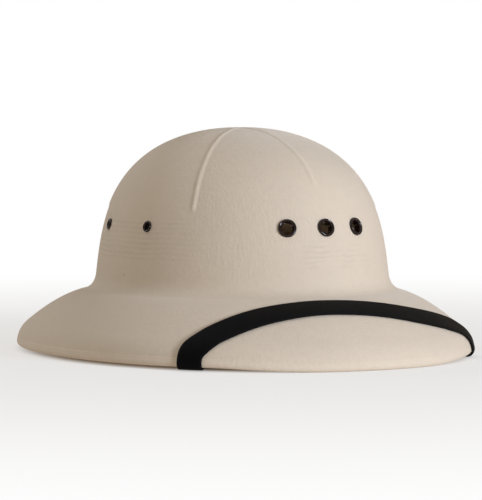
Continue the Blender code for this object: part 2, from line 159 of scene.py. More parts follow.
# Course of the chin strap's middle: azimuth in degrees, way from the foot of the rolled edge in
# millimetres (up over the brim is minus, in under the brim is plus), number of pieces to the next row.
STRAP_COURSE = (
    (-40.0, 66.0, 14), (-40.0, 52.0, 14), (-41.0, 12.0, 8), (-41.5, 5.0, 14), (-41.5, 0.0, 26),
    (-41.2, -11.0, 12), (-38.5, -20.0, 14), (-33.0, -32.0, 16), (-23.0, -47.0, 16), (-12.0, -54.5, 18),
    (0.0, -54.0, 18), (12.0, -48.0, 16), (22.0, -39.0, 14), (31.0, -29.0, 14), (38.0, -19.5, 12),
    (41.2, -11.0, 26), (41.5, 0.0, 14), (41.5, 5.0, 8), (41.0, 12.0, 14), (40.0, 52.0, 14),
    (40.0, 66.0, 0),
)
STRAP_BEAD_SHARE = 0.66       # of the rolled edge, up to where the strap leaves it
STRAP_FREE_RUN = 0.0138       # way in from the edge before the shell can hold the strap up
STRAP_WORN_EDGE = 0.0012


# ---------------------------------------------------------------- nodes

class Field(np.lib.mixins.NDArrayOperatorsMixin):
    """Output of a node that is worked with like a number: a sum on it lays the Math node that does it."""

    SUMS = {
        np.add: "ADD", np.subtract: "SUBTRACT", np.multiply: "MULTIPLY", np.divide: "DIVIDE",
        np.power: "POWER", np.sqrt: "SQRT", np.absolute: "ABSOLUTE", np.sign: "SIGN",
        np.sin: "SINE", np.cos: "COSINE", np.arctan2: "ARCTAN2", np.remainder: "FLOORED_MODULO",
        np.minimum: "MINIMUM", np.maximum: "MAXIMUM", np.less: "LESS_THAN", np.greater: "GREATER_THAN",
    }

    def __init__(self, socket):
        self.socket = socket

    def __array_ufunc__(self, ufunc, method, *values, **options):
        if ufunc is np.negative:
            return self * -1.0
        tree = self.socket.id_data
        node = lay(tree, "ShaderNodeMath", dict(enumerate(values)), operation=self.SUMS[ufunc])
        return Field(node.outputs[0])


def feed(node, inputs):
    """Feeds a node's inputs, which are named or numbered. A field, a socket, a node's first output or a
    list of them is linked to the input, and anything else is set as its own value."""
    for key, value in inputs.items():
        for item in value if isinstance(value, list) else [value]:
            if isinstance(item, Field):
                item = item.socket
            elif isinstance(item, bpy.types.Node):
                item = item.outputs[0]
            if isinstance(item, bpy.types.NodeSocket):
                node.id_data.links.new(item, node.inputs[key])
            else:
                node.inputs[key].default_value = item


def lay(tree, kind, inputs=None, **settings):
    """Adds a node with its settings and feeds its inputs."""
    node = tree.nodes.new(kind)
    for name, value in settings.items():
        setattr(node, name, value)
    feed(node, inputs or {})
    return node


def fields(outputs):
    return [Field(output) for output in outputs]


def parts_of(tree, vector):
    """The three numbers of a vector as fields."""
    return fields(lay(tree, "ShaderNodeSeparateXYZ", {0: vector}).outputs)


def vector_sum(tree, operation, first, second):
    return lay(tree, "ShaderNodeVectorMath", {0: first, 1: second}, operation=operation)


def scaled(tree, vector, factor):
    return lay(tree, "ShaderNodeVectorMath", {"Vector": vector, "Scale": factor}, operation="SCALE")


def noise(tree, where, scale, detail=3.0, roughness=0.5, distortion=0.0):
    """Noise from 0 to 1, of so many waves in a metre."""
    node = lay(tree, "ShaderNodeTexNoise", {
        "Vector": where, "Scale": scale, "Detail": detail, "Roughness": roughness,
        "Distortion": distortion})
    return Field(node.outputs[0])


def new_group(name, kind, inputs, outputs):
    """Node group with named inputs, as rows of label, kind, default and description, and named outputs,
    as rows of label and kind. Gives its tree and its inputs as fields."""
    tree = bpy.data.node_groups.new(name, kind)
    for label, socket_kind, default, description in inputs:
        socket = tree.interface.new_socket(
            label, description=description, in_out="INPUT", socket_type=f"NodeSocket{socket_kind}")
        socket.default_value = default
    for label, socket_kind in outputs:
        tree.interface.new_socket(label, in_out="OUTPUT", socket_type=f"NodeSocket{socket_kind}")
    return tree, fields(lay(tree, "NodeGroupInput").outputs)[:len(inputs)]


# ---------------------------------------------------------------- rules of the surfaces

def between(start, end, share):
    """What lies a share of the way from start to end."""
    return start + (end - start) * share


def smooth(value, low, high):
    """0 below low, 1 above high and a smooth step between."""
    share = np.minimum(np.maximum((value - low) / (high - low), 0.0), 1.0)
    return share * share * (3.0 - share * 2.0)


def window(value, marks):
    """1 between the two middle marks, falling to 0 at the outer two."""
    return smooth(value, *marks[:2]) * (1.0 - smooth(value, *marks[2:]))


def distance(x, y):
    return np.sqrt(x * x + y * y)


def polar(azimuth, radius, height):
    """X, Y and Z of a point."""
    return radius * np.sin(azimuth), -radius * np.cos(azimuth), height


def quarter_turn(azimuth):
    """Azimuth folded into the quarter between front or back and side."""
    return np.arctan2(abs(np.sin(azimuth)), abs(np.cos(azimuth)))


def plan_radius(azimuth, half_length, half_width, power):
    """Distance from the Z axis to a superellipse."""
    along = abs(np.cos(azimuth)) / half_length
    across = abs(np.sin(azimuth)) / half_width
    return (along ** power + across ** power) ** (-1 / power)


def crown_point(s, azimuth, rise):
    """Radius and height of the crown's outer face."""
    roundness = np.maximum(1.0 - rise ** CROWN_SIDE_POWER, 0.0) ** (1 / CROWN_TOP_POWER)
    lean = (1.0 - rise) * CROWN_DRAFT
    half_length = (s.crown_half_length - CROWN_DRAFT) * roundness + lean + POLE_RADIUS
    half_width = (s.crown_half_width - CROWN_DRAFT) * roundness + lean + POLE_RADIUS
    radius = plan_radius(azimuth, half_length, half_width, CROWN_PLAN_POWER)
    tilt = radius * np.cos(azimuth) * (1.0 - rise) * FOOT_SLOPE
    return radius, s.crown_height * rise + FOOT_HEIGHT + tilt


def edge_point(s, azimuth, inward, up):
    """A point placed from the brim's edge, which is level at front and back and higher at the sides."""
    lowest = smooth(quarter_turn(azimuth), STAND_HALF_ANGLE, SIDE_HALF_ANGLE) * SIDE_RISE
    radius = plan_radius(azimuth, s.brim_half_length - inward, s.brim_half_width - inward, BRIM_PLAN_POWER)
    return radius, lowest + up


def brim_point(s, azimuth, reach):
    foot_radius, foot_height = crown_point(s, azimuth, 0.0)
    bend_radius, bend_height = edge_point(s, azimuth, LIP_SPREAD, LIP_HEIGHT)
    return (
        between(foot_radius, bend_radius, reach),
        between(foot_height, bend_height, reach ** BRIM_FALL_POWER))


def lip_point(s, azimuth, up):
    spread = (up - BEAD_HALF) * (LIP_SPREAD / (LIP_HEIGHT - BEAD_HALF))
    return edge_point(s, azimuth, spread, up)


def rounded(start, corner, end, share):
    """Point of the quadratic curve that rounds a corner off."""
    rest = 1.0 - share
    return tuple(
        a * rest * rest + b * share * rest * 2.0 + c * share * share
        for a, b, c in zip(start, corner, end))


def top_rule(s, azimuth, share):
    return crown_point(s, azimuth, between(1.0, PLEATS_TOP, share * share))


def pleats_rule(s, azimuth, share):
    return crown_point(s, azimuth, between(PLEATS_TOP, PLEATS_LOW, share))


def wall_rule(s, azimuth, share):
    return crown_point(s, azimuth, between(PLEATS_LOW, FILLET_RISE, share))


def fillet_rule(s, azimuth, share):
    return rounded(
        crown_point(s, azimuth, FILLET_RISE), crown_point(s, azimuth, 0.0),
        brim_point(s, azimuth, FILLET_REACH), share)


def brim_rule(s, azimuth, share):
    return brim_point(s, azimuth, between(FILLET_REACH, BEND_REACH, share))


def bend_rule(s, azimuth, share):
    return rounded(
        brim_point(s, azimuth, BEND_REACH), edge_point(s, azimuth, LIP_SPREAD, LIP_HEIGHT),
        lip_point(s, azimuth, BEND_END_HEIGHT), share)


def lip_rule(s, azimuth, share):
    return lip_point(s, azimuth, between(BEND_END_HEIGHT, BEAD_HALF, share))


def bead_rule(s, azimuth, share):
    turn = share * BEAD_TURN
    side, level = (
        np.sign(part) * abs(part) ** (2 / BEAD_POWER) for part in (np.cos(turn), np.sin(turn)))
    return edge_point(s, azimuth, (1.0 - side) * BEAD_HALF, (1.0 - level) * BEAD_HALF)


def gutter_rule(s, azimuth, share):
    """From the end of the rolled edge straight to the end of the inner face."""
    ends = zip(bead_rule(s, azimuth, 1.0), edge_point(s, azimuth, HEM_INWARD, HEM_HEIGHT))
    return tuple(between(start, end, share) for start, end in ends)


def rim_rule(e, azimuth, share):
    sweep = share * (pi / 2)
    return between(e.crest, e.flange, np.cos(sweep)), e.crown * np.sin(sweep) + SEAT


def funnel_rule(e, azimuth, share):
    sweep = share * (pi / 2)
    height = between(-FUNNEL_DEPTH, e.crown, np.cos(sweep))
    return between(e.crest, e.mouth, np.sin(sweep)), height + SEAT


def throat_rule(e, azimuth, share):
    return e.mouth, between(-FUNNEL_DEPTH, e.inner_end, share) + SEAT


def clinch_rule(e, azimuth, share):
    sweep = share * pi
    middle = (e.flange + e.mouth) * 0.5
    return between(middle, e.mouth, np.cos(sweep)), e.inner_end + SEAT - np.sin(sweep) * CLINCH_THICKNESS


def shoulder_rule(e, azimuth, share):
    return between(e.flange, e.barrel, share), e.inner_end + SEAT


def shank_rule(e, azimuth, share):
    return e.barrel, between(e.inner_end, 0.0, share) + SEAT


def seating_rule(e, azimuth, share):
    return between(e.barrel, e.flange, share), SEAT


def band_point(azimuth, up, inward):
    """Headband: up is 0 at its lower edge and 1 at its upper edge, inward counts from its outer face."""
    half_length, half_width = (
        between(lower, upper, up) - inward for lower, upper in zip(BAND_LOWER, BAND_UPPER))
    radius = plan_radius(azimuth, half_length, half_width, CROWN_PLAN_POWER)
    return radius, between(*BAND_HEIGHTS, up) + FOOT_HEIGHT


def band_groove(b, up):
    """Depth of the line that is pressed along each edge of the headband."""
    from_edge = np.minimum(up, 1.0 - up) * (BAND_HEIGHTS[1] - BAND_HEIGHTS[0])
    return np.maximum(1.0 - abs(from_edge - b.edge_line) / LINE_HALF_WIDTH, 0.0) * b.line_depth


def band_outer_rule(b, azimuth, share):
    up = 1.0 - share
    return band_point(azimuth, between(RIM_SHARE, 1 - RIM_SHARE, up), band_groove(b, up))


def band_inner_rule(b, azimuth, share):
    inward = b.thickness - band_groove(b, share)
    return band_point(azimuth, between(RIM_SHARE, 1 - RIM_SHARE, share), inward)


def lower_rim_rule(b, azimuth, share):
    inward = (1.0 - np.cos(share * pi)) * b.thickness * 0.5
    return band_point(azimuth, (1.0 - np.sin(share * pi)) * RIM_SHARE, inward)


def upper_rim_rule(b, azimuth, share):
    inward = (1.0 + np.cos(share * pi)) * b.thickness * 0.5
    return band_point(azimuth, 1.0 - (1.0 - np.sin(share * pi)) * RIM_SHARE, inward)


# Zones of each surface in their order, with the number of their rows.
OUTER_ZONES = (
    (top_rule, 34), (pleats_rule, 82), (wall_rule, 4), (fillet_rule, 10), (brim_rule, 24),
    (bend_rule, 12), (lip_rule, 8), (bead_rule, 18), (gutter_rule, 1),
)
INNER_ZONES = (
    (top_rule, 13), (pleats_rule, 12), (wall_rule, 2), (fillet_rule, 6), (brim_rule, 12), (bend_rule, 5),
)
EYELET_ZONES = (
    (rim_rule, 10), (funnel_rule, 14), (throat_rule, 3), (clinch_rule, 10), (shoulder_rule, 1),
    (shank_rule, 1), (seating_rule, 1),
)
BAND_ZONES = ((band_outer_rule, 44), (lower_rim_rule, 6), (band_inner_rule, 44), (upper_rim_rule, 6))


def crowded(turn):
    """Azimuth of a column whose even place is turn: the columns stand closer at the ribs."""
    signed = np.remainder(turn + pi / 2, pi) - pi / 2
    first, second = RIB_SPANS
    near_end = np.less(abs(signed), first)
    from_rib = signed - np.sign(signed) * first
    shift = (
        np.sin(signed * (2 * pi / first)) * first * near_end
        + np.sin(from_rib * (2 * pi / second)) * second * (1.0 - near_end))
    return turn - shift * (CROWDING / (2 * pi))


def rib_field(s, azimuth, radius, height):
    """0 off the ribs and 1 on their crests, which run together at the top."""
    quarter = quarter_turn(azimuth)
    crests = 0.0
    for rib_azimuth, lower_end, fade in RIB_PLACES:
        across = radius * np.sin(quarter - rib_azimuth) / s.rib_half_width
        crest = np.maximum(1.0 - across * across, 0.0) ** 2.0
        crests = np.maximum(crest * smooth(height, lower_end, lower_end + fade), crests)
    return crests


def pleat_field(s, azimuth, height, stray):
    """Depth of the pressed lines, from 0 to 1: even round the sides, broken and wavy in front."""
    above = (height - FOOT_HEIGHT) * (1 / MM)
    sides = smooth(quarter_turn(azimuth) * DEGREES, *SIDE_PLEATS[0]) * window(above, SIDE_PLEATS[1])
    front = window(azimuth * DEGREES, FRONT_PLEATS[0]) * window(above, FRONT_PLEATS[1])
    swayed = above + stray * between(*PLEAT_SWAY, front)
    wave = np.cos(swayed * (MM * 2 * pi) / s.pleat_spacing) * 0.5 + 0.5
    broken = smooth(stray, -0.10, 0.12)
    at_sides = wave ** SIDE_PLEAT_POWER * sides * between(0.4, 1.0, broken)
    return at_sides + wave ** FRONT_PLEAT_POWER * front * broken


def welt_field(s, azimuth, radius, height):
    """1 on the fine welt that runs round the lip."""
    edge_radius, lowest = edge_point(s, azimuth, 0.0, 0.0)
    off = (height - lowest - WELT_HEIGHT) / WELT_HALF
    return np.maximum(1.0 - off * off, 0.0) * np.greater(radius, edge_radius - BEAD_HALF)


# ---------------------------------------------------------------- sizes and colours

def number(name, default, description, **options):
    return FloatProperty(name=name, default=default, description=description, **options)


def length(name, default, description):
    return number(name, default, description, min=0.0, unit="LENGTH", precision=5)


def angle(name, default, description):
    return number(name, default, description, unit="ROTATION", subtype="ANGLE")


def colour(name, default, description):
    return FloatVectorProperty(name=name, default=default, description=description, size=3, min=0.0,
                               max=1.0, subtype="COLOR")


class CrownSizes(bpy.types.PropertyGroup):
    """Sizes of the crown and places on it, for the shell and the eyelets."""
    crown_half_width: length("Crown half width", 0.0923, "From the middle to the crown's foot at a side")
    crown_half_length: length("Crown half length", 0.1132, "From the middle to the crown's foot in front")
    crown_height: length("Crown height", SHELL_HIGH.z - FOOT_HEIGHT, "From the crown's foot to its top")
    wall: length("Wall", 0.0025, "Thickness of the pressed fibre")
    front_spacing: angle("Front spacing", radians(13.9), "Angle from one large eyelet to the next")
    side_spread: angle("Side spread", radians(17.5), "Half the angle between two small eyelets")


class ShellSizes(bpy.types.PropertyGroup):
    """Sizes of brim, relief and holes."""
    brim_half_width: length("Brim half width", SHELL_HIGH.x, "From the middle to the edge at a side")
    brim_half_length: length("Brim half length", -SHELL_LOW.y, "From the middle to the edge in front")
    rib_height: length("Rib height", 0.0006, "How far the ribs stand out of the crown")
    rib_half_width: length("Rib half width", 0.0025, "From a rib's crest to its foot")
    pleat_depth: length("Pleat depth", 0.00013, "Depth of the pressed lines round the crown")
    pleat_spacing: length("Pleat spacing", 0.0032, "From one pressed line to the next")
    welt_height: length("Welt height", 0.00014, "How far the fine line round the lip stands out")
    waviness: length("Waviness", 0.00035, "How far the moulded surface strays from its true shape")
    front_hole: length("Front hole radius", 0.0045, "Holes for the three large eyelets")
    side_hole: length("Side hole radius", 0.0029, "Holes for the four small eyelets")


class EyeletSizes(bpy.types.PropertyGroup):
    """Sizes of the turned eyelets."""
    front_flange: length("Front flange radius", 0.0059, "Outside of the large eyelets")
    front_mouth: length("Front mouth radius", 0.0036, "Opening of the large eyelets")
    front_crown: length("Front flange height", 0.0014, "How far the large eyelets stand out")
    side_flange: length("Side flange radius", 0.0037, "Outside of the small eyelets")
    side_mouth: length("Side mouth radius", 0.0020, "Opening of the small eyelets")
    side_crown: length("Side flange height", 0.0010, "How far the small eyelets stand out")


class BandSizes(bpy.types.PropertyGroup):
    """Sizes of the headband."""
    thickness: length("Thickness", 0.0016, "Thickness of the coated leather")
    edge_line: length("Edge line", 0.0030, "From an edge to the line pressed along it")
    line_depth: length("Line depth", 0.00025, "Depth of the pressed lines")


class SpacerSizes(bpy.types.PropertyGroup):
    """Sizes of the spacers."""
    gap: length("Spacer gap", 0.0003, "Air between a spacer and its neighbours")


class StrapSizes(bpy.types.PropertyGroup):
    """Sizes of the chin strap."""
    width: length("Strap width", 0.0165, "Width of the strap")
    thickness: length("Strap thickness", 0.0013, "Thickness of the strap")
    lift: length("Strap lift", 0.0004, "Air between the strap and what it lies on")


class Colours(bpy.types.PropertyGroup):
    """Colours of the finishes."""
    cover: colour("Cover", (0.620, 0.535, 0.428), "Cloth cover of the shell")
    cover_warm: colour("Warm cover", (0.5952, 0.4815, 0.36), "Warmer patches of the cover")
    enamel: colour("Enamel", (0.0105, 0.0046, 0.0042), "Enamel of the eyelets")
    enamel_thin: colour("Thin enamel", (0.026, 0.014, 0.011), "Enamel where it wears thin")
    band: colour("Band", (0.012, 0.011, 0.011), "Coated leather of the headband")
    band_worn: colour("Worn band", (0.030, 0.026, 0.024), "Scuffs on the headband")
    felt: colour("Felt", (0.52, 0.50, 0.47), "Felt of the spacers")
    vinyl: colour("Vinyl", (0.0020, 0.0019, 0.0022), "Vinyl of the chin strap")
    vinyl_worn: colour("Worn vinyl", (0.008, 0.0075, 0.008), "Scuffs and worn edges of the chin strap")


class StageSettings(bpy.types.PropertyGroup):
    """Camera and light."""
    azimuth: angle("Azimuth", radians(-29.95), "Camera's place round the helmet, from its front")
    elevation: angle("Elevation", radians(3.0), "Camera's angle above the floor")
    distance: length("Distance", 2.05, "From the camera to what it looks at")
    focal: number("Focal length", 225.0, "Camera's focal length in millimetres", min=10.0, unit="CAMERA")
    key_power: number("Key light", 132.0, "Power of the large light", min=0.0, unit="POWER")
    rim_power: number("Rim light", 22.0, "Power of the light behind", min=0.0, unit="POWER")
    surround: number("Surround", 0.62, "Strength of the light from all sides", min=0.0)


def properties_of(*groups):
    """The properties of some property groups, by their keys."""
    return {
        key: group.bl_rna.properties[key] for group in groups
        for key in group.bl_rna.properties.keys() if key not in ("rna_type", "name")}


def values_of(*groups):
    """What is set in some property groups, by its keys."""
    return SimpleNamespace(**{key: getattr(group, key) for group in groups for key in properties_of(group)})


def shell_settings():
    scene = bpy.context.scene
    return scene.helmet_crown, scene.helmet_shell


# ---------------------------------------------------------------- geometry trees

def new_tree(name, groups, outputs=(("Geometry", "Geometry"),)):
    """Geometry tree with a named input for each size in some property groups. Gives the tree and its
    sizes as fields."""
    sizes = properties_of(*groups)
    inputs = [(size.name, "Float", size.default, size.description) for size in sizes.values()]
    tree, given = new_group(name, "GeometryNodeTree", inputs, outputs)
    return tree, SimpleNamespace(**dict(zip(sizes, given)))


def use_tree(tree, group, s):
    """Node of a group in a tree, fed with sizes in the order of its inputs."""
    return lay(tree, "GeometryNodeGroup", dict(enumerate(vars(s).values())), node_tree=group)


def polar_vector(tree, azimuth, radius, height):
    return lay(tree, "ShaderNodeCombineXYZ", dict(enumerate(polar(azimuth, radius, height))))


def moved(tree, geometry, **inputs):
    return lay(tree, "GeometryNodeSetPosition", {"Geometry": geometry, **inputs})


def noted(tree, geometry, name, value):
    return lay(tree, "GeometryNodeStoreNamedAttribute", {
        "Geometry": geometry, "Name": name, "Value": value}, data_type="FLOAT", domain="POINT")


def named(tree, name):
    node = lay(tree, "GeometryNodeInputNamedAttribute", {"Name": name}, data_type="FLOAT")
    return Field(node.outputs["Attribute"])


def polar_place(tree):
    """Azimuth, radius and height of each point, from its position."""
    x, y, z = parts_of(tree, lay(tree, "GeometryNodeInputPosition"))
    return np.arctan2(x, -y), distance(x, y), z


def surface(tree, s, rule, rows, columns, spread):
    """Mesh whose points a rule places, laid as a group of its own: columns go round Z, and rows follow
    the rule's share from 0 to 1."""
    inputs = [(key.replace("_", " ").capitalize(), "Float", 0.0, "") for key in vars(s)]
    zone, given = new_group(rule.__name__, "GeometryNodeTree", inputs, [("Geometry", "Geometry")])
    sizes = SimpleNamespace(**dict(zip(vars(s), given)))
    grid = lay(zone, "GeometryNodeMeshGrid", {
        "Size X": 1.0, "Size Y": 1.0, "Vertices X": columns + 1, "Vertices Y": rows + 1})
    across, up, _ = parts_of(zone, lay(zone, "GeometryNodeInputPosition"))
    turn = (across + 0.5) * (2 * pi)
    share = 0.5 - up
    azimuth = spread(turn) if spread else turn
    marked = noted(zone, grid, "share", share)
    place = polar_vector(zone, azimuth, *rule(sizes, azimuth, share))
    lay(zone, "NodeGroupOutput", {0: moved(zone, marked, Position=place)})
    return use_tree(tree, zone, s)


def welded(tree, *surfaces):
    joined = lay(tree, "GeometryNodeJoinGeometry", {"Geometry": list(surfaces)})
    return lay(tree, "GeometryNodeMergeByDistance", {"Geometry": joined, "Distance": SAME_POINT})


def turned(tree, s, zones, columns, spread=None):
    """The surfaces of zones that follow each other, welded together."""
    return welded(tree, *[surface(tree, s, rule, rows, columns, spread) for rule, rows in zones])


def end_tree(tree, geometry, material):
    """Ends a tree: instances made real, the material set, and its output."""
    real = lay(tree, "GeometryNodeRealizeInstances", {"Geometry": geometry})
    for name in ("share", "azimuth"):
        real = lay(tree, "GeometryNodeRemoveAttribute", {"Geometry": real, "Name": name})
    set_material = lay(tree, "GeometryNodeSetMaterial", {"Geometry": real, "Material": material})
    lay(tree, "NodeGroupOutput", {0: set_material})
    return tree


def crown_seat(tree, s, azimuth):
    """Place of an eyelet on the crown, and the rotation that turns Z to the crown's normal there."""
    def place(turn, climb):
        return polar_vector(tree, azimuth + turn, *crown_point(s, azimuth + turn, EYELET_RISE + climb))

    around = vector_sum(tree, "SUBTRACT", place(0.02, 0.0), place(-0.02, 0.0))
    upward = vector_sum(tree, "SUBTRACT", place(0.0, 0.01), place(0.0, -0.01))
    normal = vector_sum(tree, "CROSS_PRODUCT", around, upward)
    rotation = lay(tree, "FunctionNodeAxesToRotation", {0: normal, 1: around},
                   primary_axis="Z", secondary_axis="X")
    return place(0.0, 0.0), rotation


def set_in_crown(tree, s, front, side):
    """Instances at the places of the eyelets: one mesh at the three in front, and another at those on
    the left fore, left aft, right fore and right aft."""
    index = Field(lay(tree, "GeometryNodeInputIndex").outputs[0])
    right, aft = np.greater(index, 1.5), np.remainder(index, 2.0)
    in_front = (index - 1.0) * s.front_spacing
    at_side = (1.0 - right * 2.0) * ((aft * 2.0 - 1.0) * s.side_spread + SIDE_EYELET_MIDDLE)
    rows = []
    for names, azimuth, mesh in ((FRONT_EYELETS, in_front, front), (SIDE_EYELETS, at_side, side)):
        place, rotation = crown_seat(tree, s, azimuth)
        points = lay(tree, "GeometryNodePoints", {"Count": len(names), "Position": place})
        rows.append(lay(tree, "GeometryNodeInstanceOnPoints", {
            "Points": points, "Instance": mesh, "Rotation": rotation}))
    return lay(tree, "GeometryNodeJoinGeometry", {"Geometry": rows})


def relief_group(groups):
    """Group that gives the marks of the pressed surface and how far it stands off its true shape."""
    marks = [(mark, "Float") for mark in ("Ridge", "Groove", "Hem", "Relief")]
    tree, s = new_tree("pressed_relief", groups, marks)
    position = lay(tree, "GeometryNodeInputPosition")
    azimuth, radius, height = polar_place(tree)
    edge_radius, lowest = edge_point(s, azimuth, 0.0, 0.0)
    crests = rib_field(s, azimuth, radius, height)
    # The pleats also make the mark that darkens the cover along the pleat grooves: painted shade.
    pleats = pleat_field(s, azimuth, height, noise(tree, position, 55.0, 2.0) - 0.5)
    uneven = smooth(noise(tree, position, 26.0, 2.0), 0.35, 0.65)
    in_front = window(azimuth * DEGREES, FAINT_WELT)
    welt = welt_field(s, azimuth, radius, height) * between(0.3, 1.0, uneven) * between(1.0, 0.35, in_front)
    strays = noise(tree, position, 13.0, 3.0, 0.45) - 0.5
    on_crown = smooth(height, FOOT_HEIGHT - CROWN_BLEND, FOOT_HEIGHT + CROWN_BLEND)
    inward, up = ROLLED_IN
    rolled_in = smooth(edge_radius - radius, inward, BEAD_HALF) * np.less(height, lowest + up)
    relief = (1.0 - rolled_in) * (
        crests * s.rib_height - pleats * s.pleat_depth + welt * s.welt_height
        + strays * s.waviness * between(0.3, 1.0, on_crown) * 2.0)
    # The rib crests and, three times over, the welt make the mark that lightens the cover: painted
    # highlight, partly wear. The rolled edge's mark lightens it too.
    lay(tree, "NodeGroupOutput", {
        "Ridge": crests + welt * 3.0, "Groove": pleats * 0.6,
        "Hem": 1.0 - smooth(height - lowest, *HEM_MARK), "Relief": relief})
    return tree


def shell_tree(material, groups):
    tree, s = new_tree("pressed_shell", groups)
    normal = lay(tree, "GeometryNodeInputNormal")

    pressed = use_tree(tree, relief_group(groups), s)
    outer = turned(tree, s, OUTER_ZONES, COLUMNS, crowded)
    for mark in ("Ridge", "Groove", "Hem"):
        outer = noted(tree, outer, mark.lower(), pressed.outputs[mark])
    outer = moved(tree, outer, Offset=scaled(tree, normal, pressed.outputs["Relief"]))

    inner = noted(tree, turned(tree, s, INNER_ZONES, COLUMNS, crowded), "azimuth", polar_place(tree)[0])
    inner = moved(tree, inner, Offset=scaled(tree, normal, -s.wall))
    azimuth, height = named(tree, "azimuth"), polar_place(tree)[2]
    hem_radius, hem_height = edge_point(s, azimuth, HEM_INWARD, HEM_HEIGHT)
    at_hem = np.greater(named(tree, "share"), LAST_ROW) * np.less(height, hem_height + HEM_ROOM)
    hem = polar_vector(tree, azimuth, hem_radius, hem_height)
    inner = moved(tree, inner, Selection=at_hem, Position=hem)
    whole = welded(tree, outer, lay(tree, "GeometryNodeFlipFaces", {"Mesh": inner}))

    def drill(radius):
        return lay(tree, "GeometryNodeMeshCylinder", {
            "Vertices": EYELET_SIDES, "Side Segments": 1, "Radius": radius, "Depth": DRILL_DEPTH})

    drills = lay(tree, "GeometryNodeRealizeInstances", {
        "Geometry": set_in_crown(tree, s, drill(s.front_hole), drill(s.side_hole))})
    drilled = lay(tree, "GeometryNodeMeshBoolean", {"Mesh 1": whole, "Mesh 2": drills},
                  operation="DIFFERENCE", solver="EXACT")
    return end_tree(tree, drilled, material)


def eyelets_tree(material, groups):
    tree, s = new_tree("vent_eyelets", groups)

    def eyelet(flange, mouth, crown):
        """Turned eyelet: rolled rim, funnel, throat through the wall and clinched rim inside."""
        sizes = SimpleNamespace(
            flange=flange, mouth=mouth, crown=crown, crest=flange - crown * CREST_SHARE,
            barrel=between(mouth, flange, BARREL_SHARE), inner_end=-(s.wall + CLINCH_ROOM))
        return lay(tree, "GeometryNodeFlipFaces", {"Mesh": turned(tree, sizes, EYELET_ZONES, EYELET_SIDES)})

    front = eyelet(s.front_flange, s.front_mouth, s.front_crown)
    side = eyelet(s.side_flange, s.side_mouth, s.side_crown)
    return end_tree(tree, set_in_crown(tree, s, front, side), material)


def band_tree(material, groups):
    tree, s = new_tree("sweatband", groups)
    return end_tree(tree, turned(tree, s, BAND_ZONES, BAND_COLUMNS), material)


# ---------------------------------------------------------------- materials

def new_material(name):
    """Material with its tree, its Principled shader and the coordinates of the object."""
    material = bpy.data.materials.new(name)
    material.use_nodes = True
    tree = material.node_tree
    return material, tree, tree.nodes["Principled BSDF"], lay(tree, "ShaderNodeTexCoord").outputs["Object"]


def mixed(tree, factor, first, second):
    """Colour between two."""
    return lay(tree, "ShaderNodeMix", {0: factor, 6: first, 7: second}, data_type="RGBA").outputs[2]


def rgba(colour_property):
    return (*colour_property, 1.0)


def bumped(tree, height, depth, strength, **normal):
    return lay(tree, "ShaderNodeBump", {
        "Height": height, "Distance": depth, "Strength": strength, **normal})


def attribute(tree, name):
    """A mark on the points of a mesh, which is 0 on a mesh without it."""
    return Field(lay(tree, "ShaderNodeAttribute", attribute_name=name).outputs["Fac"])


def weave(tree, where, spacing):
    """Plain weave laid on the surface from three sides: its height and the painted shade between its
    threads.
    """
    sway = noise(tree, where, 140.0, 2.0) * 2.2
    x, y, z = parts_of(tree, where)
    facing = parts_of(tree, lay(tree, "ShaderNodeNewGeometry").outputs["Normal"])
    height = total = 0.0
    for normal, first, second in zip(facing, (y, x, x), (z, z, y)):
        share = abs(normal) ** 4.0
        warp, weft = (np.sin((way / spacing + sway) * pi) for way in (first, second))
        height = abs(warp * weft) * share + height
        total = share + total
    woven = height / total
    return woven, 1.0 - smooth(woven, 0.0, 0.35)


def cover_material(colours, crown):
    """Tightly pressed cloth over fibre: fine weave, pebbled grain, painted shade in the pleat grooves and
    between the threads, and painted highlight, partly wear, on what stands out.
    """
    material, tree, shader, where = new_material("cloth_cover")
    height, gap_shade = weave(tree, where, 0.00052)
    patches = noise(tree, where, 14.0, 3.0, 0.55)
    mottle = noise(tree, where, 210.0, 4.0, 0.6)
    specks = smooth(noise(tree, where, 900.0, 2.0), 0.68, 0.80)
    ridge, groove, hem = (attribute(tree, name) for name in ("ridge", "groove", "hem"))
    fleck_place = polar(FLECK_AZIMUTH, *crown_point(crown, FLECK_AZIMUTH, FLECK_RISE))
    away = Field(vector_sum(tree, "DISTANCE", where, fleck_place).outputs["Value"])
    fleck = 1.0 - smooth(away, FLECK_RADIUS * 0.4, FLECK_RADIUS)
    # The cover's tone, with painted shade in the pleat grooves and between the threads, and painted
    # highlight, partly wear, on the rib crests, the welt and the rolled edge.
    shade = (
        1.0 + (patches - 0.5) * 0.10 + (mottle - 0.5) * 0.10 - gap_shade * 0.10 - groove * 0.16
        + ridge * 0.05 + hem * 0.05 - specks * 0.10 - fleck * 0.22)
    base = scaled(tree, tuple(colours.cover), shade)
    pebbles = noise(tree, where, 1150.0, 3.0, 0.6)
    drawn = lay(tree, "ShaderNodeMapping", {"Vector": where, "Scale": (1.0, 1.0, 0.45)})
    slubs = noise(tree, drawn, 520.0, 2.0, 0.6)
    grain = bumped(tree, pebbles * 0.5 + slubs, 0.00045, 0.6)
    feed(shader, {
        "Base Color": mixed(tree, smooth(patches, 0.45, 0.75) * 0.22, base, rgba(colours.cover_warm)),
        "Roughness": 0.84 - height * 0.06 + (mottle - 0.5) * 0.10,
        "Normal": bumped(tree, height, 0.00010, 0.55, Normal=grain),
        "Specular IOR Level": 0.28, "Sheen Weight": 0.32, "Sheen Roughness": 0.45,
        "Sheen Tint": (1.0, 0.97, 0.94, 1.0)})
    return material


